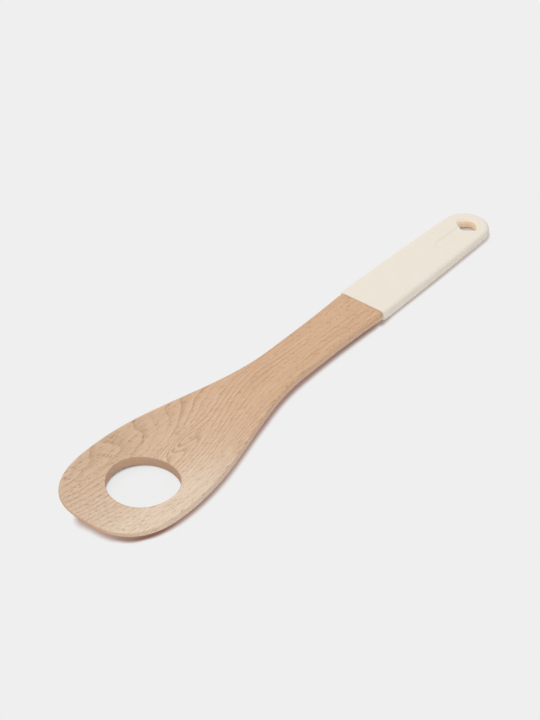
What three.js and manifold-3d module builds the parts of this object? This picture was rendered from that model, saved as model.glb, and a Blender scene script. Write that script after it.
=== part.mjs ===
// Salad spoon: a dished beech spoon with a round hole through its bowl, and a soft sleeve on its handle.
// Millimetres. +X runs from the tip to the handle's end, +Y across, +Z up; it lies on the plane Z = 0.
import * as THREE from "three";
import Module from "manifold-3d";

// Plan of the wood, measured from the tip along the spoon.
const LENGTH = 310;
const BOWL_HALF = 30.6; // half of the bowl's greatest width
const BOWL_WIDEST = 37.8; // from the tip to that width
const TIP_POWER = 2.73; // 2 would make the tip end an ellipse, more makes it blunter
const NECK_HALF = 12.45;
const NECK_START = 144; // where the bowl's shoulders have run out
const FLARE = 1.2; // the neck widens by this on each side towards the sleeve
const FLARE_START = 160;
const JOINT = 204.7; // where the wood's shoulder meets the sleeve

// Side view of the wood.
const RIM_TIP = 10.15; // height of the middle of the wood's thickness at the tip
const RIM_FALL = 0.003; // slope of the rim line at the tip
const BOW = 6225; // radius of the arch that the rim line and the neck follow
const DISH_DEPTH = 7.4;
const DISH_DEEPEST = 46;
const DISH_END = 132;
const DISH_POWER = 2.4; // 2 would be a plain bowl, more makes its floor flatter
const THICK_TIP = 2.2;
const THICK_BOWL = 5.1;
const THICK_JOINT = 4.8;
const TIP_TAPER = 34; // the tip thickens over this length
const EDGE = 1.5; // rounding of the wood's edges
const EASE = 0.5; // rounding of the wood at the joint
const HOLE_D = 34.3;
const HOLE_AT = 38.6;

// Tang of the wood inside the sleeve.
const TANG_HALF = 9;
const TANG_THICK = 3;
const TANG_EDGE = 1;
const TANG_SHORT = 26; // the tang ends this far before the hang hole
const CLEAR = 0.3; // between the wood and the sleeve

// Sleeve.
const SLEEVE_HALF_FRONT = 14.3;
const SLEEVE_HALF_BACK = 12.9;
const SLEEVE_BULGE = 0.3; // its sides bow out by this half way along
const SLEEVE_THICK_FRONT = 6.2;
const SLEEVE_THICK_BACK = 5;
const SLEEVE_EDGE = 2.4;
const CAP = 14; // length of the rounded end
const HANG_NOSE = 17.7; // from the handle's end to the hang hole's corner nearest the bowl
const HANG_LONG = 10.3; // from that corner to the hole's bowed side
const HANG_CORNERS = 5.3; // from that corner to its two side corners, along the handle
const HANG_HALF = 6.5; // half its width
const HANG_ROUND = 1.1;
const RECESS_RIM = 0.8; // the shallow recess is wider than the hang hole by this
const RECESS_DEEP = 0.5;
const RECESS_TAIL = 22.3; // it runs on this far towards the bowl
const RECESS_TAIL_HALF = 3;
const NOSE_AT = LENGTH - HANG_NOSE;

// A raised cosine that goes from 0 to 1 as x does.
const swell = (x) => 0.5 - 0.5 * Math.cos(Math.PI * Math.min(1, Math.max(0, x)));

function woodHalf(u) {
  if (u < BOWL_WIDEST) {
    const back = 1 - Math.max(0, u) / BOWL_WIDEST;
    return BOWL_HALF * (1 - back ** TIP_POWER) ** (1 / TIP_POWER);
  }
  const shoulder = 1 - swell((u - BOWL_WIDEST) / (NECK_START - BOWL_WIDEST));
  const flare = Math.max(0, (u - FLARE_START) / (JOINT - FLARE_START)) ** 2;
  return NECK_HALF + (BOWL_HALF - NECK_HALF) * shoulder + FLARE * flare;
}

// Height of the middle of the thickness along the rim: an arch, and a straight line beyond the joint.
function rimHeight(u) {
  const v = Math.min(u, JOINT);
  const arch = RIM_TIP - RIM_FALL * v - v ** 2 / (2 * BOW);
  return arch - (RIM_FALL + JOINT / BOW) * (u - v);
}

// How far the bowl's floor lies below its rim.
function dish(u, y) {
  const fore = 1 - Math.max(0, 1 - u / DISH_DEEPEST) ** DISH_POWER;
  const aft = 1 - swell((u - DISH_DEEPEST) / (DISH_END - DISH_DEEPEST));
  const depth = DISH_DEPTH * (u < DISH_DEEPEST ? fore : aft);
  return depth * (1 - Math.min(1, Math.abs(y) / Math.max(1e-6, woodHalf(u))) ** DISH_POWER);
}

function woodThick(u) {
  const tip = THICK_TIP + (THICK_BOWL - THICK_TIP) * Math.sin((Math.PI / 2) * Math.min(1, u / TIP_TAPER));
  return tip + (THICK_JOINT - THICK_BOWL) * swell((u - DISH_END) / (JOINT - DISH_END));
}

function sleeveThick(u) {
  const along = (u - JOINT) / (LENGTH - JOINT);
  return SLEEVE_THICK_FRONT + (SLEEVE_THICK_BACK - SLEEVE_THICK_FRONT) * along;
}

// A closed body over a half outline that starts on the centre line and ends at a flat face.
// Its edge is rounded, and its top and bottom lie half its thickness above and below its middle.
function slab(outline, middle, thick, edge, crossings) {
  const rows = [];
  for (let i = 0; i <= crossings; i++) rows.push({ across: i / crossings, turn: 90 });
  for (let a = 67.5; a >= -67.5; a -= 22.5) rows.push({ across: 1, turn: a });
  for (let i = crossings; i >= 0; i--) rows.push({ across: i / crossings, turn: -90 });
  const points = [];
  const numbers = new Map();
  const numberOf = (p) => {
    const key = p.map((c) => Math.round(c * 1e4)).join();
    if (!numbers.has(key)) numbers.set(key, points.push(p) - 1);
    return numbers.get(key);
  };
  const at = (i, row, side) => {
    const [u, w] = outline[i];
    const [a, b] = [outline[Math.max(0, i - 1)], outline[Math.min(outline.length - 1, i + 1)]];
    let out = new THREE.Vector2(b[1] - a[1], -(b[0] - a[0])).normalize();
    if (out.y < 0) out.negate();
    if (i === 0) out.set(Math.sign(a[0] - b[0]), 0);
    if (i === outline.length - 1) out.set(0, 1);
    const r = Math.min(edge, 0.48 * thick(u));
    const turn = (row.turn * Math.PI) / 180;
    const inset = r * (1 - Math.cos(turn));
    const x = u - out.x * inset;
    const y = Math.max(0, w - out.y * inset) * row.across * side;
    const z = middle(x, y) + (thick(u) / 2 - r) * Math.sign(row.turn) + r * Math.sin(turn);
    return numberOf([x, y, z]);
  };
  const faces = [];
  const quad = (a, b, c, d) => {
    if (a !== b && b !== c && c !== a) faces.push(a, b, c);
    if (a !== c && c !== d && d !== a) faces.push(a, c, d);
  };
  const last = outline.length - 1;
  for (const side of [1, -1]) {
    for (let i = 0; i < last; i++)
      for (let k = 0; k + 1 < rows.length; k++) {
        const q = [at(i, rows[k], side), at(i + 1, rows[k], side)];
        q.push(at(i + 1, rows[k + 1], side), at(i, rows[k + 1], side));
        if (side < 0) q.reverse();
        quad(...q);
      }
    for (let k = 0; 2 * k + 2 < rows.length; k++) {
      const m = rows.length - 1 - k;
      const q = [at(last, rows[k], side), at(last, rows[m], side)];
      q.push(at(last, rows[m - 1], side), at(last, rows[k + 1], side));
      if (side < 0) q.reverse();
      quad(...q);
    }
  }
  let volume = 0;
  const corner = (n) => new THREE.Vector3(...points[n]);
  for (let i = 0; i < faces.length; i += 3)
    volume += corner(faces[i]).dot(corner(faces[i + 1]).cross(corner(faces[i + 2])));
  if (volume < 0) faces.reverse();
  return new Manifold(
    new Mesh({
      numProp: 3,
      vertProperties: new Float32Array(points.flat()),
      triVerts: new Uint32Array(faces),
    }),
  );
}

// A plan shape pushed through the spoon from height low to height high.
function prism(shape, low, high, steps) {
  const ring = shape.getPoints(steps);
  if (THREE.ShapeUtils.isClockWise(ring)) ring.reverse();
  return new CrossSection([ring.map((p) => [p.x, p.y])]).extrude(high - low).translate([0, 0, low]);
}

const wasm = await Module();
wasm.setup();
const { Manifold, Mesh, CrossSection } = wasm;

// The wood's half outline: a blunt round tip, the bowl's side, the shoulders and the neck.
const woodOutline = [];
for (let i = 0; i <= 22; i++) {
  const turn = (Math.PI / 2) * (i / 22);
  woodOutline.push([
    BOWL_WIDEST * (1 - Math.cos(turn) ** (2 / TIP_POWER)),
    BOWL_HALF * Math.sin(turn) ** (2 / TIP_POWER),
  ]);
}
for (let i = 1; i <= 26; i++) {
  const u = BOWL_WIDEST + (NECK_START - BOWL_WIDEST) * (i / 26);
  woodOutline.push([u, woodHalf(u)]);
}
for (let i = 1; i <= 8; i++) {
  const u = NECK_START + (JOINT - EASE - NECK_START) * (i / 8);
  woodOutline.push([u, woodHalf(u)]);
}
woodOutline.push([JOINT, woodHalf(JOINT) - EASE]);
const woodMiddle = (u, y) => rimHeight(u) - dish(u, y);
const easedThick = (u) => woodThick(u) - (u > JOINT - EASE / 2 ? 2 * EASE : 0);
const board = slab(woodOutline, woodMiddle, easedThick, EDGE, 7);

// The tang, and the socket for it in the sleeve, follow the straight line of the handle.
function tangBody(grow) {
  const end = NOSE_AT - TANG_SHORT + grow;
  const outline = [];
  for (let i = 0; i <= 8; i++) {
    const turn = (Math.PI / 2) * (i / 8);
    outline.push([end - TANG_HALF * (1 - Math.cos(turn)), (TANG_HALF + grow) * Math.sin(turn)]);
  }
  outline.push([JOINT - 2, TANG_HALF + grow]);
  return slab(outline, (u) => rimHeight(u), () => TANG_THICK + 2 * grow, TANG_EDGE + grow, 2);
}

const hole = Manifold.cylinder(60, HOLE_D / 2, HOLE_D / 2, 72).translate([HOLE_AT, 0, -20]);
const wood = board.subtract(hole).add(tangBody(0));

// The sleeve's half outline: an elliptical end, then a slight widening towards the joint.
const sleeveOutline = [];
for (let i = 0; i <= 16; i++) {
  const turn = (Math.PI / 2) * (i / 16);
  sleeveOutline.push([LENGTH - CAP * (1 - Math.cos(turn)), SLEEVE_HALF_BACK * Math.sin(turn)]);
}
for (let i = 1; i <= 8; i++) {
  const t = i / 8;
  sleeveOutline.push([
    LENGTH - CAP + (JOINT + CLEAR - LENGTH + CAP) * t,
    SLEEVE_HALF_BACK + (SLEEVE_HALF_FRONT - SLEEVE_HALF_BACK) * t + 4 * SLEEVE_BULGE * t * (1 - t),
  ]);
}
const sleeveBlock = slab(sleeveOutline, (u) => rimHeight(u), sleeveThick, SLEEVE_EDGE, 2);

// The hang hole: a corner that points at the bowl, and a bowed side that follows the handle's end.
function hangShape(grow) {
  const nose = NOSE_AT - grow;
  const side = NOSE_AT + HANG_CORNERS;
  const half = HANG_HALF + grow;
  const r = HANG_ROUND + grow;
  const back = (4 * (NOSE_AT + HANG_LONG + grow) - side - r) / 3; // pulls the curve out to the bowed side
  const shape = new THREE.Shape();
  shape.moveTo(nose + r * 0.5, -r);
  shape.quadraticCurveTo(nose, 0, nose + r * 0.5, r);
  shape.lineTo(side - r, half - 0.8 * r);
  shape.quadraticCurveTo(side, half + 0.2 * r, side + r, half - 0.8 * r);
  shape.bezierCurveTo(back, half - 3 * r, back, 3 * r - half, side + r, 0.8 * r - half);
  shape.quadraticCurveTo(side, -half - 0.2 * r, side - r, 0.8 * r - half);
  shape.closePath();
  return shape;
}
const hang = prism(hangShape(0), -20, 40, 8);

// The shallow recess round the hang hole, with a tail towards the bowl.
const tail = new THREE.Shape();
const tailEnd = NOSE_AT - RECESS_TAIL;
tail.moveTo(NOSE_AT + HANG_CORNERS, -RECESS_TAIL_HALF);
tail.lineTo(NOSE_AT + HANG_CORNERS, RECESS_TAIL_HALF);
tail.lineTo(tailEnd + RECESS_TAIL_HALF, RECESS_TAIL_HALF);
tail.absarc(tailEnd + RECESS_TAIL_HALF, 0, RECESS_TAIL_HALF, Math.PI / 2, 1.5 * Math.PI);
tail.closePath();
const below = (u) => rimHeight(u) + sleeveThick(u) / 2 - RECESS_DEEP;
const tilt = Math.atan2(below(LENGTH) - below(tailEnd), LENGTH - tailEnd);
const overFloor = prism(hangShape(RECESS_RIM), 0, 10, 8)
  .add(prism(tail, 0, 10, 12))
  .translate([-tailEnd, 0, 0])
  .rotate([0, (-tilt * 180) / Math.PI, 0])
  .translate([tailEnd, 0, below(tailEnd)]);

const sleeve = sleeveBlock.subtract(tangBody(CLEAR)).subtract(hang).subtract(overFloor);

// Both bodies are set so that the origin is under the middle of the spoon, on the plane it lies on.
const lowest = Math.min(wood.boundingBox().min[2], sleeve.boundingBox().min[2]);
function meshOf(name, body, material) {
  const made = body.translate([-LENGTH / 2, 0, -lowest]).getMesh();
  const geometry = new THREE.BufferGeometry();
  geometry.setAttribute("position", new THREE.BufferAttribute(made.vertProperties, 3));
  geometry.setIndex(new THREE.BufferAttribute(made.triVerts, 1));
  const mesh = new THREE.Mesh(geometry, material);
  mesh.name = name;
  return mesh;
}

const beech = new THREE.MeshStandardMaterial({ color: 0xd2b08c, roughness: 0.6, metalness: 0 });
const silicone = new THREE.MeshStandardMaterial({ color: 0xece4d6, roughness: 0.55, metalness: 0 });

const spoon = new THREE.Group();
spoon.add(meshOf("beech_spoon", wood, beech), meshOf("silicone_sleeve", sleeve, silicone));

export default spoon;
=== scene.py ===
import math

import bmesh
import bpy
import numpy as np
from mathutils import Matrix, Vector


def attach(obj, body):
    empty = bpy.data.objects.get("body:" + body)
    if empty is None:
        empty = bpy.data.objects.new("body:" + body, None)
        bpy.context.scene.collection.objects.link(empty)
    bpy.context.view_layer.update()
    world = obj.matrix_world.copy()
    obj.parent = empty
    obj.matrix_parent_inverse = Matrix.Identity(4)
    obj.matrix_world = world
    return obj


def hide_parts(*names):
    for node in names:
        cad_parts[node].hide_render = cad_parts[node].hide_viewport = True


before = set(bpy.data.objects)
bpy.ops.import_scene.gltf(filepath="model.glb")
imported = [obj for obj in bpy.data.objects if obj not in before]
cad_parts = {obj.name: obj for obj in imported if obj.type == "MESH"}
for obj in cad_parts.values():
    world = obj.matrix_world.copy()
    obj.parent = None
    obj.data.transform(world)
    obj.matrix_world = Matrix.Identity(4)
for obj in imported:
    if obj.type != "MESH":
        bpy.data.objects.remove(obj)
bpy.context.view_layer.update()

# Salad spoon: a dished beech spoon with a hole through its bowl and a soft cream sleeve on its handle.
# Shapes are worked out in millimetres. u runs from the tip of the bowl to the end of the handle, y across.
MM = 0.001

# Plan of the wood.
LENGTH = 310.0
BOWL_HALF = 30.6  # half of the bowl's greatest width
BOWL_WIDEST = 37.8  # from the tip to that width
TIP_POWER = 2.73  # 2 would make the tip end an ellipse, more makes it blunter
NECK_HALF = 12.45
NECK_START = 144.0  # where the bowl's shoulders have run out
FLARE = 1.2  # the neck widens by this on each side towards the sleeve
FLARE_START = 160.0
JOINT = 204.7  # where the wood's shoulder meets the sleeve

# Side view of the wood.
RIM_TIP = 10.15  # height of the middle of the thickness at the tip, before the spoon is set on the floor
RIM_FALL = 0.003  # slope of the rim line at the tip
BOW = 6225.0  # radius of the arch that the rim line and the neck follow
DISH_DEPTH = 7.4
DISH_DEEPEST = 46.0
DISH_END = 132.0
DISH_POWER = 2.4  # 2 would be a plain bowl, more makes its floor flatter
THICK_TIP = 2.2
THICK_BOWL = 5.06
THICK_JOINT = 4.8
TIP_TAPER = 34.0  # the tip thickens over this length
EDGE = 1.5  # rounding of the wood's edges
EASE = (2.2, 1.7, 0.1)  # the wood's corners at the joint: length and depth in plan, and depth in thickness
CROWN = 0.45  # the neck's two faces fall back by this at their edges
HOLE_D = 34.3
HOLE_AT = 38.6
HOLE_EASE = 0.5

# Tang and its socket.
TANG_HALF = 9.0
TANG_THICK = 3.0
TANG_SHORT = 26.0  # the tang ends this far before the hang hole
TANG_TURN = 0.47 * np.pi  # its round end stops just short of a quarter turn on each side
CLEAR = 0.3  # between the tang and its socket, all round

# Sleeve.
SLEEVE_HALF_FRONT = 14.3
SLEEVE_HALF_BACK = 12.9
SLEEVE_BULGE = 0.3  # its sides bow out by this half way along
SLEEVE_THICK_FRONT = 6.2
SLEEVE_THICK_BACK = 5.0
SLEEVE_EDGE = 2.4
SLEEVE_LIP = (1.6, 1.2, 0.6)  # the sleeve's front corners, in the order of EASE
SEAT = 0.05  # gap between the wood's shoulder and the sleeve
CAP = 14.0  # length of the rounded end

# Hang hole, its corners measured before they are rounded, and the recess round it.
HANG_NOSE = 17.7  # from the handle's end to the corner nearest the bowl
HANG_LONG = 10.3  # from that corner to the hole's bowed side
HANG_CORNERS = 5.3  # from that corner to its two side corners, along the handle
HANG_HALF = 6.3  # half its width
HANG_ROUND = 1.5
HANG_EASE = 0.6
HANG_SIDE = -0.8  # the hole and its recess lie this far to one side of the middle
HANG_MIDDLE = 0.55  # its middle is at this share of its length from the corner nearest the bowl
RECESS_RIM = 0.8  # the shallow recess is wider than the hang hole by this
RECESS_DEEP = 0.45
RECESS_SOFT = 0.45  # half the width of the recess's sloping side
RECESS_TAIL = 22.3  # it runs on this far towards the bowl
RECESS_TAIL_HALF = 3.0

# Fineness of the surfaces.
WOOD_STEP = 0.9  # along the wood's outline and across it
SLEEVE_STEP = 0.5  # along the sleeve's outline
SLEEVE_CROSS_STEP = 0.45  # across the sleeve
WOOD_SAMPLES = 4000  # points of an outline before it is spaced evenly
SLEEVE_SAMPLES = 2000
WOOD_SEAM = 96.0  # from the tip to where the ring round the bowl's hole ends
SLEEVE_SEAM = HANG_NOSE + 3.0  # the same from the handle's end, round the hang hole
QUARTER = 9  # points in a quarter round
RING_ROWS = 41  # from a hole's edge to the outline
RING_CLOSER = 1.15  # these rows lie closer towards the hole by this power
EDGE_SHARE = 0.48  # an edge's radius is at most this share of the thickness
WELD_DIGITS = 4  # points alike to this many decimals are one
SHORTEST = 1e-9  # in metres; an edge shorter than this goes
TINY = 1e-6  # keeps a division safe where a width runs out


def swell(x):
    """A raised cosine that goes from 0 to 1 as x does."""
    return 0.5 - 0.5 * np.cos(np.pi * np.clip(x, 0, 1))


def wood_half(u):
    """Half width: a superellipse at the tip, raised-cosine shoulders, then a flaring neck."""
    back = np.clip(1 - u / BOWL_WIDEST, 0, 1)
    tip = BOWL_HALF * (1 - back**TIP_POWER) ** (1 / TIP_POWER)
    shoulder = 1 - swell((u - BOWL_WIDEST) / (NECK_START - BOWL_WIDEST))
    flare = np.clip((u - FLARE_START) / (JOINT - FLARE_START), 0, None) ** 2
    return np.where(u < BOWL_WIDEST, tip, NECK_HALF + (BOWL_HALF - NECK_HALF) * shoulder + FLARE * flare)


def rim_height(u):
    """Middle of the thickness along the rim: a shallow arch, and its straight tangent beyond the joint."""
    v = np.minimum(u, JOINT)
    return RIM_TIP - RIM_FALL * v - v**2 / (2 * BOW) - (RIM_FALL + JOINT / BOW) * (u - v)


def dish(u, y):
    """How far the bowl's floor lies below its rim: deepest on the centre line, nothing at the edge."""
    fore = 1 - np.clip(1 - u / DISH_DEEPEST, 0, 1) ** DISH_POWER
    aft = 1 - swell((u - DISH_DEEPEST) / (DISH_END - DISH_DEEPEST))
    across = np.clip(np.abs(y) / np.maximum(wood_half(u), TINY), 0, 1) ** DISH_POWER
    return DISH_DEPTH * np.where(u < DISH_DEEPEST, fore, aft) * (1 - across)


def wood_middle(u, y):
    """Middle of the wood's thickness: the rim line less the dish."""
    return rim_height(u) - dish(u, y)


def wood_rise(u, y):
    """Half the wood's thickness: thin at the tip, even along the bowl, and crowned across the neck."""
    thick = THICK_TIP + (THICK_BOWL - THICK_TIP) * np.sin(np.pi / 2 * np.clip(u / TIP_TAPER, 0, 1))
    thick = thick + (THICK_JOINT - THICK_BOWL) * swell((u - DISH_END) / (JOINT - DISH_END))
    edgewards = (y / np.maximum(wood_half(u), TINY)) ** 2
    crown = CROWN * swell((u - DISH_DEEPEST) / (DISH_END - DISH_DEEPEST)) * edgewards
    return thick / 2 - crown


def sleeve_thick(u):
    """The sleeve's thickness: a straight taper from the joint to the handle's end."""
    along = (u - JOINT) / (LENGTH - JOINT)
    return SLEEVE_THICK_FRONT + (SLEEVE_THICK_BACK - SLEEVE_THICK_FRONT) * along


def curve(points, n):
    """A Bezier curve of any degree as n + 1 points at even steps of its parameter, by repeated mixing."""
    t = np.linspace(0, 1, n + 1)[:, None]
    row = [np.broadcast_to(np.array(p, float), (n + 1, 2)) for p in points]
    while len(row) > 1:
        row = [a + (b - a) * t for a, b in zip(row, row[1:])]
    return row[0]


def hang_outline():
    """The hang hole in plan, measured from the handle's end.

    Two straight sides spread from a rounded corner to two more, which a bowed side joins.
    """
    straight, corner, bowed = 8, 12, 40  # steps along each
    r, side = HANG_ROUND, HANG_NOSE - HANG_CORNERS
    back = (4 * (HANG_NOSE - HANG_LONG) - side + r) / 3  # pulls the curve out to the bowed side
    begin, peak, pull = HANG_HALF - 0.8 * r, HANG_HALF + 0.2 * r, HANG_HALF - 3 * r
    upper = [
        curve([(HANG_NOSE - r / 2, r), (side + r, begin)], straight)[:-1],
        curve([(side + r, begin), (side, peak), (side - r, begin)], corner)[:-1],
        curve([(side - r, begin), (back, pull), (back, -pull), (side - r, -begin)], bowed)[:-1],
    ]
    lower = [
        curve([(side - r, -begin), (side, -peak), (side + r, -begin)], corner)[:-1],
        curve([(side + r, -begin), (HANG_NOSE - r / 2, -r)], straight)[:-1],
        curve([(HANG_NOSE - r / 2, -r), (HANG_NOSE, 0), (HANG_NOSE - r / 2, r)], corner)[:-1],
    ]
    return np.concatenate(upper + lower)


# Points inside the two holes from which their whole edges can be seen.
HANG_CENTRE = np.array((HANG_NOSE - HANG_MIDDLE * HANG_LONG, HANG_SIDE))
HOLE_CENTRE = np.array((HOLE_AT, 0.0))


def hang_radius(turn):
    """Distance from the hang hole's middle to its edge in the plan direction turn."""
    at = hang_outline() - (HANG_CENTRE[0], 0)
    angle = np.arctan2(at[:, 1], at[:, 0])
    order = np.argsort(angle)
    return np.interp(turn, angle[order], np.hypot(at[:, 0], at[:, 1])[order], period=2 * np.pi)


def recess(s, y):
    """Depth of the recess: level inside the hang hole's widened outline and the tail, with sloping sides."""
    ds, dy = s - HANG_CENTRE[0], y - HANG_CENTRE[1]
    round_hole = np.hypot(ds, dy) - hang_radius(np.arctan2(dy, ds)) - RECESS_RIM
    tail_end = HANG_NOSE + RECESS_TAIL - RECESS_TAIL_HALF
    tail = np.hypot(np.maximum(0, s - tail_end), dy) - RECESS_TAIL_HALF
    outside = np.where(ds > 0, np.minimum(round_hole, tail), round_hole)
    return RECESS_DEEP * (1 - swell((outside + RECESS_SOFT) / (2 * RECESS_SOFT)))


def evenly(points, step):
    """The same line through points about one step apart."""
    run = np.concatenate([[0], np.cumsum(np.hypot(*np.diff(points, axis=0).T))])
    at = np.linspace(0, run[-1], int(round(run[-1] / step)) + 1)
    return np.stack([np.interp(at, run, points[:, k]) for k in (0, 1)], -1)


def wood_outline():
    """Half outline of the wood from tip to joint: a superellipse by its angle, then the half widths."""
    turn = np.linspace(0, np.pi / 2, WOOD_SAMPLES)
    tip = np.stack([
        BOWL_WIDEST * (1 - np.cos(turn) ** (2 / TIP_POWER)),
        BOWL_HALF * np.sin(turn) ** (2 / TIP_POWER),
    ], -1)
    u = np.linspace(BOWL_WIDEST, JOINT - EASE[0], WOOD_SAMPLES)[1:]
    return evenly(np.concatenate([tip, np.stack([u, wood_half(u)], -1)]), WOOD_STEP)


def sleeve_outline():
    """Half outline of the sleeve from the handle's end to the joint: an elliptical end, then bowed sides."""
    turn = np.linspace(0, np.pi / 2, SLEEVE_SAMPLES)
    cap = np.stack([CAP * (1 - np.cos(turn)), SLEEVE_HALF_BACK * np.sin(turn)], -1)
    t = np.linspace(0, 1, SLEEVE_SAMPLES)[1:]
    s = CAP + (LENGTH - JOINT - SEAT - SLEEVE_LIP[0] - CAP) * t
    widening = (SLEEVE_HALF_FRONT - SLEEVE_HALF_BACK) * t + 4 * SLEEVE_BULGE * t * (1 - t)
    sides = np.stack([s, SLEEVE_HALF_BACK + widening], -1)
    return evenly(np.concatenate([cap, sides]), SLEEVE_STEP)


def board(outline, ease, seam, step, centre, radius, hole_ease, edge, middle, rise, fall, plug):
    """Grids of points (s, y, z) that close up into a flat piece with rounded edges and one hole through it.

    s runs from the free end to the joint. The edge is a half round carried along the outline, and the hole's
    edge is one carried round the hole. Each face is a ring of straight lines from the hole to the outline, as
    far as the seam, and straight crossings from there to the joint, with points about a step apart. The
    joint's shoulder goes over into plug.
    """
    # Outline with its eased end, its outward normals, and how much the end is drawn in.
    bend = np.linspace(0, np.pi / 2, QUARTER)[1:]
    last_s, last_y = outline[-1]
    end = np.stack([last_s + ease[0] * np.sin(bend), last_y - ease[1] * (1 - np.cos(bend))], -1)
    along = np.gradient(outline, axis=0)
    normal = np.stack([-along[:, 1], along[:, 0]], -1)
    normal /= np.hypot(*normal.T)[:, None]
    normal[0] = (-1, 0)
    normal = np.concatenate([normal, np.tile((0.0, 1.0), (len(bend), 1))])
    drawn = np.concatenate([np.zeros(len(outline)), ease[2] * (1 - np.cos(bend))])
    line = np.concatenate([outline, end])
    flip = np.array((1, -1))
    line = np.concatenate([line[::-1], line[1:] * flip])
    normal = np.concatenate([normal[::-1], normal[1:] * flip])
    drawn = np.concatenate([drawn[::-1], drawn[1:]])

    def place(plan, up, inset=0.0, swing=0.0, draw=0.0):
        """Plan points lifted to the upper (up 1) or lower (up -1) face, or round an edge from it by swing."""
        s, y = plan[..., 0], plan[..., 1]
        half = (rise if up > 0 else fall)(s, y) - draw
        return np.stack([s, y, middle(s, y) + up * (half - inset) + swing], -1)

    # The outer edge: top quarter, wall, bottom quarter.
    turn = np.radians(np.linspace(90, 0, QUARTER))
    thick = rise(line[:, 0], line[:, 1]) + fall(line[:, 0], line[:, 1])
    r = np.minimum(edge, EDGE_SHARE * thick - drawn)[:, None]
    plan = line[:, None] - normal[:, None] * (r * (1 - np.cos(turn)))[..., None]
    over = place(plan, 1, r, r * np.sin(turn), drawn[:, None])
    under = place(plan, -1, r, -r * np.sin(turn), drawn[:, None])[:, ::-1]
    band = np.concatenate([over, under], 1)
    inner = plan[:, 0]

    # The ring between the hole and the outline, closed by the seam across the board.
    tip = len(line) // 2
    seam_left = tip - int(np.argmin(np.abs(line[:tip, 0] - seam)[::-1])) - 1
    seam_right = len(line) - 1 - seam_left
    share = np.linspace(0, 1, int(round(2 * inner[seam_left, 1] / step)) + 1)
    back = inner[seam_right] + (inner[seam_left] - inner[seam_right]) * share[1:-1, None]
    border = np.concatenate([inner[seam_left:seam_right + 1], back])
    spoke = border - centre
    angle = np.arctan2(spoke[:, 1], spoke[:, 0])
    out = np.stack([np.cos(angle), np.sin(angle)], -1)
    bore = radius(angle)[:, None]
    start = centre + out * (bore + hole_ease)
    outward = (np.linspace(0, 1, RING_ROWS) ** RING_CLOSER)[:, None]
    ring = start[:, None] + (border - start)[:, None] * outward
    faces = [place(ring, up) for up in (1, -1)]

    # The hole's wall with its two eased edges.
    wall_plan = centre + out[:, None] * (bore + hole_ease * (1 - np.cos(turn)))[..., None]
    wall = np.concatenate([
        place(wall_plan, 1, hole_ease, hole_ease * np.sin(turn)),
        place(wall_plan, -1, hole_ease, -hole_ease * np.sin(turn))[:, ::-1],
    ], 1)

    # Crossings from the seam to the joint.
    left, right = inner[:seam_left + 1], inner[len(line) - 1 - np.arange(seam_left + 1)]
    cross = left[:, None] + (right - left)[:, None] * share[:, None]
    crossings = [place(cross, up, draw=drawn[:seam_left + 1, None]) for up in (1, -1)]

    # The section at the joint as one loop, and the tang or socket that goes on from it.
    loop = np.concatenate([
        crossings[0][0],
        band[-1, 1:-1],
        crossings[1][0][::-1],
        band[0, 1:-1][::-1],
    ])
    s, plug_half, plug_thick = plug
    over_middle = loop[:, 2] - middle(loop[:, 0], 0 * loop[:, 1])
    flat = np.stack([
        np.broadcast_to(s[:, None], (len(s), len(loop))),
        loop[:, 1] / np.abs(loop[:, 1]).max() * plug_half[:, None],
        middle(s, 0 * s)[:, None] + over_middle / np.ptp(over_middle) * plug_thick[:, None],
    ], -1)
    plug_grid = np.concatenate([loop[None], flat])

    open_grids = [band, *crossings]
    closed_grids = [*faces, wall, plug_grid.transpose(1, 0, 2)]
    return open_grids, closed_grids, plug_grid[-1]


def quads(number):
    """Four-sided faces between the neighbours of a grid of point numbers."""
    corners = [number[:-1, :-1], number[1:, :-1], number[1:, 1:], number[:-1, 1:]]
    return np.stack(corners, -1).reshape(-1, 4)


def piece(name, open_grids, closed_grids, last_loop):
    """Welds grids (mm) into one closed mesh object in metres; a closed grid's last row joins its first."""
    points, faces, count = [], [], 0
    for grid, shut in [(g, False) for g in open_grids] + [(g, True) for g in closed_grids]:
        number = np.arange(grid.shape[0] * grid.shape[1]).reshape(grid.shape[:2]) + count
        count += number.size
        points.append(grid.reshape(-1, 3))
        faces.append(quads(np.concatenate([number, number[:1]]) if shut else number))
    points = np.concatenate(points + [last_loop])
    rounded = np.round(points, WELD_DIGITS)
    _, first, welded = np.unique(rounded, axis=0, return_index=True, return_inverse=True)
    welded = welded.reshape(-1)
    faces = welded[np.concatenate(faces)]
    mesh = bpy.data.meshes.new(name)
    mesh.from_pydata(points[first] * MM, [], faces.tolist() + [welded[count:].tolist()])
    shape = bmesh.new()
    shape.from_mesh(mesh)
    bmesh.ops.dissolve_degenerate(shape, edges=shape.edges, dist=SHORTEST)
    bmesh.ops.recalc_face_normals(shape, faces=shape.faces)
    shape.to_mesh(mesh)
    shape.free()
    mesh.polygons.foreach_set("use_smooth", np.ones(len(mesh.polygons), bool))
    facing = np.empty(3 * len(mesh.vertices), np.float32)
    mesh.vertex_normals.foreach_get("vector", facing)
    for key, value in (("end_grain", np.abs(facing[0::3])), ("steep", 1 - np.abs(facing[2::3]))):
        mesh.attributes.new(key, "FLOAT", "POINT").data.foreach_set("value", np.ascontiguousarray(value))
    made = bpy.data.objects.new(name, mesh)
    bpy.context.scene.collection.objects.link(made)
    return made


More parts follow.
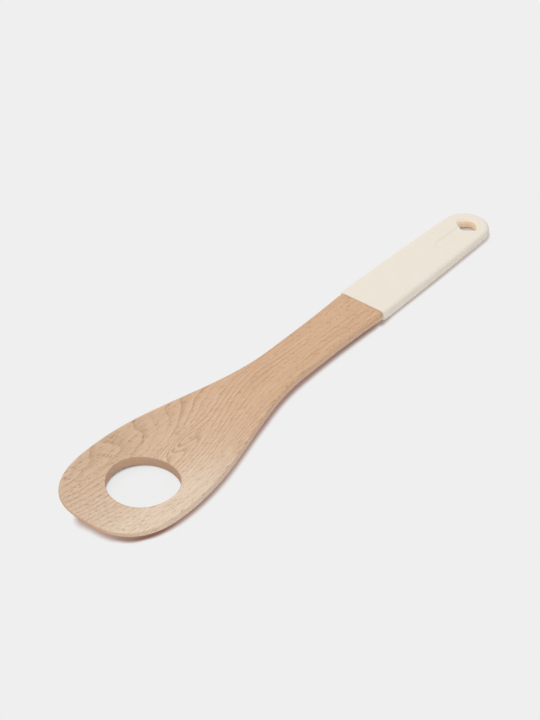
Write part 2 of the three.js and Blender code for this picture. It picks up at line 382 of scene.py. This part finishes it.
def plug_rows(start, end, sign, grow):
    """Places along the tang or its socket, half widths and thicknesses: straight, then a round end."""
    length = abs(end - start)
    straight = np.linspace(0, length - TANG_HALF, QUARTER - 1)
    turn = np.linspace(0, TANG_TURN, 2 * QUARTER - 2)[1:]
    x = np.concatenate([straight, length - TANG_HALF * (1 - np.sin(turn))])
    into = np.clip((x - length + TANG_HALF) / TANG_HALF, 0, 1)
    half = (TANG_HALF + grow) * np.sqrt(1 - into**2)
    return start + sign * x, half, np.full(len(x), TANG_THICK + 2 * grow)


def bowl_hole(turn):
    """Distance from the middle of the bowl's hole to its edge, the same in every direction."""
    return np.full(np.shape(turn), HOLE_D / 2)


tang_end = LENGTH - HANG_NOSE - TANG_SHORT
wood_grids = board(
    wood_outline(), EASE, WOOD_SEAM, WOOD_STEP, HOLE_CENTRE, bowl_hole, HOLE_EASE, EDGE,
    wood_middle, wood_rise, wood_rise, plug_rows(JOINT, tang_end, 1, 0.0),
)


def sleeve_middle(s, y):
    """Middle of the sleeve's thickness, the rim line carried on."""
    return rim_height(LENGTH - s)


def sleeve_rise(s, y):
    """From the middle to the sleeve's upper face: half the thickness less the recess."""
    return sleeve_thick(LENGTH - s) / 2 - recess(s, y)


def sleeve_fall(s, y):
    """From the middle to the sleeve's lower face."""
    return sleeve_thick(LENGTH - s) / 2


front = LENGTH - JOINT - SEAT
sleeve_grids = board(
    sleeve_outline(), SLEEVE_LIP, SLEEVE_SEAM, SLEEVE_CROSS_STEP, HANG_CENTRE, hang_radius, HANG_EASE,
    SLEEVE_EDGE, sleeve_middle, sleeve_rise, sleeve_fall,
    plug_rows(front, LENGTH - tang_end - CLEAR, -1, CLEAR),
)

both = (wood_grids, sleeve_grids)
lift = -min(grid[..., 2].min() for grids in both for part in grids[:2] for grid in part)


def to_frame(grids, mirrored):
    """Moves grids from the board's own axes to the frame: the origin is under the middle of the spoon."""
    def move(grid):
        u = LENGTH - grid[..., 0] if mirrored else grid[..., 0]
        return np.stack([u - LENGTH / 2, grid[..., 1], grid[..., 2] + lift], -1)
    return [move(g) for g in grids[0]], [move(g) for g in grids[1]], move(grids[2])


spoon = piece("beech_bowl_and_neck", *to_frame(wood_grids, False))
sleeve = piece("cream_handle_sleeve", *to_frame(sleeve_grids, True))


def mark_bore(made, mirrored, centre, radius, ease):
    """Writes an attribute that is 1 on the wall of the piece's hole and 0 beyond the hole's eased edge."""
    at = np.empty(3 * len(made.data.vertices), np.float32)
    made.data.vertices.foreach_get("co", at)
    x, y = at[0::3] / MM, at[1::3] / MM
    ds, dy = LENGTH / 2 + (-x if mirrored else x) - centre[0], y - centre[1]
    out = np.hypot(ds, dy) - radius(np.arctan2(dy, ds))
    wall = (1 - swell(out / ease)).astype(np.float32)
    made.data.attributes.new("bore", "FLOAT", "POINT").data.foreach_set("value", wall)


mark_bore(spoon, False, HOLE_CENTRE, bowl_hole, HOLE_EASE)
mark_bore(sleeve, True, HANG_CENTRE, hang_radius, HANG_EASE)


def linear(hex_colour):
    """sRGB hex to linear light, with alpha 1."""
    c = np.array([int(hex_colour[i:i + 2], 16) for i in (1, 3, 5)]) / 255
    return (*np.where(c <= 0.04045, c / 12.92, ((c + 0.055) / 1.055) ** 2.4).tolist(), 1.0)


def put(tree, kind, into=(), **settings):
    """Adds one node and gives its outputs.

    into holds its inputs in order, or by name or number, each a constant or another node's output.
    """
    made = tree.nodes.new("ShaderNode" + kind)
    for key, value in settings.items():
        setattr(made, key, value)
    for key, value in into.items() if isinstance(into, dict) else enumerate(into):
        if isinstance(value, bpy.types.NodeSocket):
            tree.links.new(value, made.inputs[key])
        else:
            made.inputs[key].default_value = value
    return made.outputs


def new_material(name):
    """An empty node material and its tree."""
    made = bpy.data.materials.new(name)
    made.use_nodes = True
    made.node_tree.nodes.clear()
    return made, made.node_tree


# Beech, in millimetres, with x and y from the middle of the spoon.
RING_WIDTH = 1.25
RING_LEAN = 0.5  # the layers lean by this across the board
RING_DRIFT = -0.022  # and by this along it
RING_LEVEL = 7.5  # height at which that lean is measured
RING_BENDS = (((70, 26, 26), 1.0, 3.2), ((16, 5, 5), 2.0, 0.9))  # size of each bend, its detail and depth
KNOT_AT = (-85.0, 4.2)
KNOT_SIZE = (13.0, 3.6)
KNOT_LIFT = -4.2
RAY_SIZE = (4.6, 0.5, 0.9)
VESSEL_SIZE = (2.4, 0.38, 0.6)
FIBRE_SIZE = (22, 0.55, 0.55)
GRAIN_TURN = math.radians(-5)  # rays and vessels run at this angle to the spoon
WOOD_BUMP = 0.05
NOISE_SPAN = (0.3, 0.7)  # most values of a noise lie between these
# Where along the spoon each of these comes in, as x from and to.
RINGS_UPRIGHT = (-112.0, -138.0)
RINGS_FAINTER = (-70.0, -10.0)
RAYS_FEWER = (-150.0, -60.0)
VESSELS_MORE = (-70.0, -20.0)
WOOD_WARMER = (-150.0, -20.0)
BOWL_PAINTED_SHADE = (-60.0, -115.0)
END_GRAIN = (-122.0, -140.0)


def beech_sanded():
    """Flat-sawn beech, sanded and lightly oiled: tan rings, fine streaks, short dark flecks, almost matt."""
    made, tree = new_material("beech_sanded_oiled")
    mm = put(tree, "VectorMath", {0: put(tree, "TexCoord")["Object"], 3: 1 / MM}, operation="SCALE")[0]
    x, y, z = put(tree, "SeparateXYZ", (mm,))

    # Growth rings are layers that lean across the board, so the hollow of the bowl cuts them into arches.
    # Towards the tip they stand steeper, so there the lines run straight.
    depth = put(tree, "MapRange", (x, *RINGS_UPRIGHT, -1.0, -0.12))[0]
    level = put(tree, "Math", (z, RING_LEVEL), operation="SUBTRACT")[0]
    lean = put(tree, "Math", (level, depth), operation="MULTIPLY")[0]
    lean = put(tree, "Math", (y, RING_LEAN, lean), operation="MULTIPLY_ADD")[0]
    lean = put(tree, "Math", (x, RING_DRIFT, lean), operation="MULTIPLY_ADD")[0]
    for size, detail, bend in RING_BENDS:
        spread = put(tree, "Mapping", {0: mm, 3: tuple(1 / k for k in size)})[0]
        noise = put(tree, "TexNoise", {"Vector": spread, "Scale": 1.0, "Detail": detail})[0]
        lean = put(tree, "Math", (noise, bend, lean), operation="MULTIPLY_ADD")[0]

    # A pin knot grown over below the surface lifts the layers into a small arch.
    centre = tuple(-at / size for at, size in zip(KNOT_AT, KNOT_SIZE))
    shrink = tuple(1 / size for size in KNOT_SIZE)
    knot = put(tree, "Mapping", {0: mm, 1: (*centre, 0.0), 3: (*shrink, 0.0)})[0]
    knot = put(tree, "VectorMath", (knot, knot), operation="DOT_PRODUCT")[1]
    knot = put(tree, "Math", (knot, -1.0), operation="MULTIPLY")[0]
    knot = put(tree, "Math", (math.e, knot), operation="POWER")[0]
    lean = put(tree, "Math", (knot, KNOT_LIFT, lean), operation="MULTIPLY_ADD")[0]

    # Each ring darkens towards its late wood, and some years more than others.
    ring = put(tree, "Math", (lean, 1 / RING_WIDTH), operation="MULTIPLY")[0]
    season = put(tree, "Math", (ring,), operation="FRACT")[0]
    late = put(tree, "Math", (season, 2.6), operation="POWER")[0]
    year = put(tree, "Math", (ring, 0.37), operation="MULTIPLY")[0]
    along = put(tree, "Math", (x, 0.012), operation="MULTIPLY")[0]
    year = put(tree, "CombineXYZ", (year, along))[0]
    year = put(tree, "TexNoise", {"Vector": year, "Scale": 1.0, "Detail": 1.0})[0]
    year = put(tree, "MapRange", (year, 0.3, 0.65, 0.25, 1.1))[0]
    year = put(tree, "Math", (knot, 0.5, year), operation="MULTIPLY_ADD")[0]
    late = put(tree, "Math", (late, year), operation="MULTIPLY")[0]
    plain = put(tree, "MapRange", (x, *RINGS_FAINTER, 1.0, 0.62))[0]
    late = put(tree, "Math", (late, plain), operation="MULTIPLY")[0]

    # Rays cut across show as dark spindles 2 to 4 mm long, and vessels as finer dashes between them.
    marks = []
    for size, keep, seed in ((RAY_SIZE, 0.5, 0.0), (VESSEL_SIZE, 0.46, 37.0)):
        cells = {0: mm, 1: (seed, seed, seed), 2: (0, 0, GRAIN_TURN), 3: tuple(1 / k for k in size)}
        cell = put(tree, "TexVoronoi", {"Vector": put(tree, "Mapping", cells)[0], "Scale": 1.0})
        spindle = put(tree, "MapRange", (cell["Distance"], 0.38, 0.2, 0.0, 1.0))[0]
        some = put(tree, "SeparateColor", (cell["Color"],))[0]
        some = put(tree, "MapRange", (some, keep, 1.0, 0.0, 1.0))[0]
        marks.append(put(tree, "Math", (spindle, some), operation="MULTIPLY")[0])
    many = put(tree, "MapRange", (x, *RAYS_FEWER, 1.3, 0.9))[0]
    spindle = put(tree, "Math", (marks[0], many), operation="MULTIPLY")[0]
    least = put(tree, "MapRange", (x, *VESSELS_MORE, 0.35, 0.8))[0]
    rows = put(tree, "MapRange", (late, 0.0, 0.5, least, 1.5))[0]
    dash = put(tree, "Math", (marks[1], rows), operation="MULTIPLY")[0]
    fleck = put(tree, "Math", (spindle, dash), operation="ADD", use_clamp=True)[0]

    # Fibres are streaks about half a millimetre wide.
    fibre = put(tree, "Mapping", {0: mm, 3: tuple(1 / k for k in FIBRE_SIZE)})[0]
    fibre = put(tree, "TexNoise", {"Vector": fibre, "Scale": 1.0, "Detail": 3.0})[0]

    # The board goes from pale at the tip to a warmer tan in the neck.
    # Painted light and shade: the bowl is painted palest along one side and darkest along the other.
    smooth = {"interpolation_type": "SMOOTHSTEP"}
    warm = put(tree, "MapRange", (x, *WOOD_WARMER, 0.0, 1.0), **smooth)[0]
    # Painted light and shade across the bowl: paler where y is below 0, darker where it is above.
    side = put(tree, "MapRange", (y, 0.0, -20.0, 0.0, 1.0), **smooth)[0]
    painted_shaded_side = put(tree, "MapRange", (y, 0.0, 22.0, 0.0, 0.3), **smooth)[0]
    painted_bowl_reach = put(tree, "MapRange", (x, *BOWL_PAINTED_SHADE, 0.0, 1.0), **smooth)[0]
    side = put(tree, "Math", (side, painted_bowl_reach), operation="MULTIPLY")[0]
    painted_shaded_side = put(tree, "Math", (painted_shaded_side, painted_bowl_reach), operation="MULTIPLY")[0]
    tone_and_painted_shade = put(tree, "Mix", {0: warm, 6: linear("#dfc5ac"), 7: linear("#d7b18f")}, data_type="RGBA")[2]
    tone_and_painted_shade = put(tree, "Mix", {0: side, 6: tone_and_painted_shade, 7: linear("#e9d4bd")}, data_type="RGBA")[2]
    tone_and_painted_shade = put(tree, "Mix", {0: painted_shaded_side, 6: tone_and_painted_shade, 7: linear("#c9a582")}, data_type="RGBA")[2]
    dark = put(tree, "Mix", {0: warm, 6: linear("#bd9a79"), 7: linear("#b58a65")}, data_type="RGBA")[2]
    # Painted light: the rings show less on the paler painted side.
    strong = put(tree, "Math", (side, -0.4, 0.66), operation="MULTIPLY_ADD")[0]
    shade = put(tree, "Math", (late, strong), operation="MULTIPLY")[0]
    streak = put(tree, "MapRange", (fibre, *NOISE_SPAN, -0.15, 0.32))[0]
    shade = put(tree, "Math", (shade, streak), operation="ADD")[0]
    colour = put(tree, "Mix", {0: shade, 6: tone_and_painted_shade, 7: dark}, data_type="RGBA", clamp_factor=False)[2]
    mark = put(tree, "Math", (fleck, 0.68), operation="MULTIPLY")[0]
    colour = put(tree, "Mix", {0: mark, 6: colour, 7: linear("#8a6040")}, data_type="RGBA")[2]

    # Painted light and shade: the steep sides are painted a paler, greyer tan, the hole's wall a darker one.
    sides = put(tree, "Attribute", attribute_name="steep")["Fac"]
    sides = put(tree, "MapRange", (sides, 0.35, 0.9, 0.0, 0.45))[0]
    colour = put(tree, "Mix", {0: sides, 6: colour, 7: linear("#dcc1ae")}, data_type="RGBA")[2]
    bore = put(tree, "Attribute", attribute_name="bore")["Fac"]
    bore = put(tree, "Math", (bore, 0.5), operation="MULTIPLY")[0]
    colour = put(tree, "Mix", {0: bore, 6: colour, 7: linear("#bd9272")}, data_type="RGBA")[2]

    # End grain at the tip takes up more oil and goes a warmer tan.
    ends = put(tree, "Attribute", attribute_name="end_grain")["Fac"]
    ends = put(tree, "MapRange", (ends, 0.25, 0.8, 0.0, 0.55))[0]
    tip = put(tree, "MapRange", (x, *END_GRAIN, 0.0, 1.0))[0]
    ends = put(tree, "Math", (ends, tip), operation="MULTIPLY")[0]
    colour = put(tree, "Mix", {0: ends, 6: colour, 7: linear("#d9ad80")}, data_type="RGBA")[2]

    gloss = put(tree, "MapRange", (fibre, *NOISE_SPAN, 0.5, 0.62))[0]
    height = put(tree, "Math", (fleck, -0.6, fibre), operation="MULTIPLY_ADD")[0]
    bump = put(tree, "Bump", {"Strength": 0.12, "Distance": WOOD_BUMP * MM, "Height": height})[0]
    wood = put(tree, "BsdfPrincipled", {
        "Base Color": colour, "Roughness": gloss, "IOR": 1.5, "Specular IOR Level": 0.35, "Normal": bump,
    })[0]
    put(tree, "OutputMaterial", (wood,))
    return made


# Silicone, in millimetres.
CLOUD_SIZE = 9.0
TOOTH_SIZE = 0.4  # about 0.1 on the real sleeve, drawn as coarse as it needs to show
TOOTH_BUMP = 0.02


def silicone_moulded():
    """Cream silicone from a spark-eroded mould: soft and matt, with a very fine tooth."""
    made, tree = new_material("silicone_moulded_matt")
    mm = put(tree, "VectorMath", {0: put(tree, "TexCoord")["Object"], 3: 1 / MM}, operation="SCALE")[0]
    cloud = put(tree, "TexNoise", {"Vector": mm, "Scale": 1 / CLOUD_SIZE, "Detail": 2.0})[0]
    colour = put(tree, "Mix", {0: cloud, 6: linear("#ece3d4"), 7: linear("#f0e8da")}, data_type="RGBA")[2]
    # Painted light: the hang hole's wall is painted a warmer cream and glows faintly, for light through the
    # soft wall.
    bore = put(tree, "Attribute", attribute_name="bore")["Fac"]
    colour = put(tree, "Mix", {0: bore, 6: colour, 7: linear("#ffead2")}, data_type="RGBA")[2]
    through = put(tree, "Mix", {0: bore, 6: linear("#000000"), 7: linear("#40413b")}, data_type="RGBA")[2]
    tooth = put(tree, "TexNoise", {"Vector": mm, "Scale": 1 / TOOTH_SIZE, "Detail": 2.0})[0]
    gloss = put(tree, "MapRange", (tooth, *NOISE_SPAN, 0.62, 0.74))[0]
    bump = put(tree, "Bump", {"Strength": 0.05, "Distance": TOOTH_BUMP * MM, "Height": tooth})[0]
    rubber = put(tree, "BsdfPrincipled", {
        "Base Color": colour, "Roughness": gloss, "IOR": 1.41, "Specular IOR Level": 0.22, "Normal": bump,
        "Emission Color": through, "Emission Strength": 1.0,
    })[0]
    put(tree, "OutputMaterial", (rubber,))
    return made


spoon.data.materials.append(beech_sanded())
sleeve.data.materials.append(silicone_moulded())
for made, node, slot in ((spoon, "beech_spoon", "beech"), (sleeve, "silicone_sleeve", "silicone")):
    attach(made, "root")
    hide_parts(node)


# The close shadow is partly rendered shade and partly painted: its reach, lightness and warm tint are set
# here.
# The floor's close shadow lies on the side away from the soft box. Along u, in millimetres and shares:
# how far it fades out, how light it is where it starts, how far it holds before it fades, and how warm it is.
SHADOW_U = (0, 1.2, 3, 13, 24, 35, 67, 110, 154, 200, 215, 300, 310)
SHADOW_FADE = (6.2, 4.6, 3.2, 2.0, 2.9, 3.4, 3.6, 3.2, 3.6, 3.8, 2.2, 1.8, 0.8)
SHADOW_LIGHT = (0.64, 0.54, 0.3, 0.13, 0.16, 0.3, 0.35, 0.38, 0.3, 0.17, 0.45, 0.5, 0.6)
SHADOW_HOLD = (0.6, 0.3, 0.0, 0.0, 0.2, 0.9, 1.8, 2.7, 1.1, 0.5, 0.5, 1.1, 0.9)
SHADOW_WARM = (0.7, 0.7, 0.75, 1.0, 1.0, 0.8, 0.75, 0.75, 0.75, 0.7, 0.4, 0.35, 0.3)
SOFT_BOX_TURN = 75  # degrees from +x to where the soft box stands round the spoon
SHADOW_SIDE = (-0.75, 0.15)  # it comes in as the edge turns away from the box, from and to these cosines
SET_IN = 0.8  # how far in under the spoon's edge the shadow starts, for each mm of the edge's height
FAR_FADE = 0.6  # how far it fades out on the soft box's side
TIP_REACH = 0.55  # round the tip it fades out further by this share where y is above 0
TIP_REACH_HALF = 12.0  # that share is reached this far from the middle
UNDER_FADE = 4.0  # under the spoon it gets darker over this length
SLEEVE_DEEP = 0.7  # under the sleeve it goes this share of the way
SLEEVE_WARM = 0.35  # and is at least this warm
JOINT_BLEND = 10.0  # the sleeve's values come in over this length
HOLE_LIGHT = 0.87  # how light the floor is in the bowl's hole
HOLE_FADE = 1.2  # the light comes in over this length
HOLE_IN = 0.6  # and starts this far under the wood
PAPER = "#efefef"
FLOOR_HALF = 3000
FLOOR_X = (-165, -85, 175)  # the fine part of the floor, with its finest part round the tip
FLOOR_X_STEPS = (0.6, 1.2)
FLOOR_Y = (-45, 50)
FLOOR_Y_STEP = 0.7
FLOOR_SHARES = 40  # the floor's points are worked on in this many shares


def paper_floor():
    """Pale paper. It is evenly lit but for the spoon's close shadow, whose reach and warm tint are painted.
    """
    made, tree = new_material("paper_sweep")
    clear = put(tree, "Attribute", attribute_name="clear")["Fac"]
    warm = put(tree, "Attribute", attribute_name="tint")["Fac"]
    # Painted warm tint of the shadow, for light bounced off the wood, deeper on the lit paper than on its
    # glow.
    tint = put(tree, "Mix", {0: warm, 6: linear(PAPER), 7: linear("#b08472")}, data_type="RGBA")[2]
    paper = put(tree, "BsdfDiffuse", (tint,))[0]
    tint = put(tree, "Mix", {0: warm, 6: linear(PAPER), 7: linear("#c08f7c")}, data_type="RGBA")[2]
    glow = put(tree, "Emission", (tint, 1.0))[0]
    seen = put(tree, "Math", (put(tree, "LightPath")["Is Camera Ray"], clear), operation="MULTIPLY")[0]
    put(tree, "OutputMaterial", (put(tree, "MixShader", (seen, paper, glow))[0],))
    return made


def shadow_line(grids, mirrored):
    """The line on the floor where a piece's close shadow starts, and the shadow's values along it.

    Every point of the edge is set down on the floor and moved straight in under the piece by a share of its
    height, since light comes in from the side under a high edge. Across the edge, the point that then lies
    furthest out is the line's. A row is x, y, reach, lightness, hold, warmth and the edge's own y.
    """
    band = to_frame(grids, mirrored)[0][0]
    out = (band[:, band.shape[1] // 2] - band[:, 0])[:, None, :2]
    out = out / np.maximum(np.hypot(out[..., :1], out[..., 1:]), TINY)
    down = band[..., :2] - out * band[..., 2:] * SET_IN
    line = down[np.arange(len(down)), (down * out).sum(-1).argmax(1)]
    u, y = band[:, 0, 0] + LENGTH / 2, band[:, 0, 1]
    box = math.radians(SOFT_BOX_TURN)
    turned_away = -(out[:, 0] * (math.cos(box), math.sin(box))).sum(-1)
    near = swell((turned_away - SHADOW_SIDE[0]) / (SHADOW_SIDE[1] - SHADOW_SIDE[0]))
    reach = np.interp(u, SHADOW_U, SHADOW_FADE) * (1 + TIP_REACH * swell(y / TIP_REACH_HALF))
    fade = FAR_FADE + (reach - FAR_FADE) * near
    light = np.interp(u, SHADOW_U, SHADOW_LIGHT)
    hold = np.interp(u, SHADOW_U, SHADOW_HOLD)
    warm = np.interp(u, SHADOW_U, SHADOW_WARM) * near
    return np.column_stack([line, fade, light, hold, warm, y])


def hole_light(at):
    """How light the floor is at points at inside the bowl's hole: even, with a soft edge, and 0 outside."""
    rim = to_frame(wood_grids, False)[1][2][:, -1, :2]
    spoke, ray = rim - rim.mean(0), at - rim.mean(0)
    turn = np.arctan2(spoke[:, 1], spoke[:, 0])
    order = np.argsort(turn)
    ray_turn = np.arctan2(ray[:, 1], ray[:, 0])
    bore = np.interp(ray_turn, turn[order], np.hypot(*spoke.T)[order], period=2 * np.pi)
    return HOLE_LIGHT * swell((bore + HOLE_IN - np.hypot(*ray.T)) / HOLE_FADE)


def floor_light(at):
    """How evenly lit the floor is at points at, from 0 under the spoon to 1, and how warm its shadow is.

    Both follow from the distance to the nearest point of the shadow's line, and from the values there.
    """
    line = np.concatenate([shadow_line(wood_grids, False), shadow_line(sleeve_grids, True)])
    gap, nearest = [], []
    for some in np.array_split(at, FLOOR_SHARES):
        squares = ((some[:, None] - line[None, :, :2]) ** 2).sum(-1)
        nearest.append(squares.argmin(1))
        gap.append(np.sqrt(squares.min(1)))
    gap, nearest = np.concatenate(gap), np.concatenate(nearest)
    fade, light, hold, warm = line[nearest, 2:6].T

    # Under the spoon is what lies between the near and the far side of the line.
    line = line[np.argsort(line[:, 0])]
    front, back = line[line[:, 6] <= 0], line[line[:, 6] >= 0]
    x, y = at.T
    under = y > np.interp(x, front[:, 0], front[:, 1], np.inf, np.inf)
    under &= y < np.interp(x, back[:, 0], back[:, 1], -np.inf, -np.inf)
    wood = swell((JOINT - LENGTH / 2 - x) / JOINT_BLEND)
    deep = swell(gap / UNDER_FADE) * (SLEEVE_DEEP + (1 - SLEEVE_DEEP) * wood)
    away = swell((gap - hold) / fade)
    clear = np.where(under, light * (1 - deep), light + (1 - light) * away)
    tint = np.where(under, np.maximum(warm * (1 - deep), SLEEVE_WARM * (1 - wood)), warm * (1 - away))
    return np.maximum(clear, hole_light(at)), tint


def make_floor():
    """A wide flat sheet, fine round the spoon, whose attributes say where the spoon's close shadow lies."""
    x = [np.arange(*ends, step) for ends, step in zip((FLOOR_X[:2], FLOOR_X[1:]), FLOOR_X_STEPS)]
    x = np.concatenate([[-FLOOR_HALF], *x, [FLOOR_HALF]])
    y = np.concatenate([[-FLOOR_HALF], np.arange(*FLOOR_Y, FLOOR_Y_STEP), [FLOOR_HALF]])
    at = np.stack(np.meshgrid(x, y, indexing="ij"), -1).reshape(-1, 2)
    clear, tint = floor_light(at)
    faces = quads(np.arange(len(at)).reshape(len(x), len(y)))
    mesh = bpy.data.meshes.new("floor")
    mesh.from_pydata(np.column_stack([at, np.zeros(len(at))]) * MM, [], faces.tolist())
    for key, value in (("clear", clear), ("tint", tint)):
        mesh.attributes.new(key, "FLOAT", "POINT").data.foreach_set("value", value)
    mesh.materials.append(paper_floor())
    made = bpy.data.objects.new("floor", mesh)
    bpy.context.scene.collection.objects.link(made)
    return made


floor = make_floor()

scene = bpy.context.scene
scene.view_settings.view_transform = "Standard"

# Even studio surround. The camera and reflections see it as the same pale grey as the floor.
WORLD_LIGHT = 0.52
world = bpy.data.worlds.new("studio")
scene.world = world
world.use_nodes = True
world.node_tree.nodes.clear()
sky = world.node_tree
path = put(sky, "LightPath")
seen = put(sky, "Math", (path["Is Camera Ray"], path["Is Glossy Ray"]), operation="MAXIMUM")[0]
strength = put(sky, "MapRange", {0: seen, 3: WORLD_LIGHT, 4: 1.0})[0]
tint = put(sky, "Mix", {0: seen, 6: linear("#ffffff"), 7: linear(PAPER)}, data_type="RGBA")[2]
put(sky, "OutputWorld", (put(sky, "Background", (tint, strength))[0],))


def aim(thing, place, target):
    """Puts a lamp or camera at place, looking at target, both in metres."""
    thing.location = place
    thing.rotation_euler = (Vector(target) - Vector(place)).to_track_quat("-Z", "Y").to_euler()
    scene.collection.objects.link(thing)


# A large soft box above and behind the spoon, and a weaker one low in front of it.
# Each has its size in metres, its power in watts, and where it stands round and above the spoon in degrees.
LAMP_FAR = 1.6  # metres from the middle of the spoon
LAMPS = (("soft_box", 1.3, 13.5, SOFT_BOX_TURN, 65), ("front_fill", 0.6, 5.0, -132, 14))
for name, size, power, turn, climb in LAMPS:
    lamp = bpy.data.lights.new(name, "AREA")
    lamp.shape = "DISK"
    lamp.size = size
    lamp.energy = power
    turn, climb = math.radians(turn), math.radians(climb)
    level = LAMP_FAR * math.cos(climb)
    place = (level * math.cos(turn), level * math.sin(turn), LAMP_FAR * math.sin(climb))
    aim(bpy.data.objects.new(name, lamp), place, (0, 0, 0))

# Camera of the photograph: a long lens from the bowl's end, 39 degrees above the table.
CAMERA = np.array((-598.23, -457.31, 614.84))
AIM = np.array((-6.52, 14.37, 0.0))
IMAGE_LONG = 720  # pixels on the picture's longer side
FOCAL_PIXELS = 1985.5
SENSOR = 36.0
view = bpy.data.cameras.new("view")
view.sensor_width = SENSOR
view.lens = FOCAL_PIXELS * SENSOR / IMAGE_LONG
camera = bpy.data.objects.new("view", view)
aim(camera, CAMERA * MM, AIM * MM)
scene.camera = camera

bpy.context.view_layer.update()
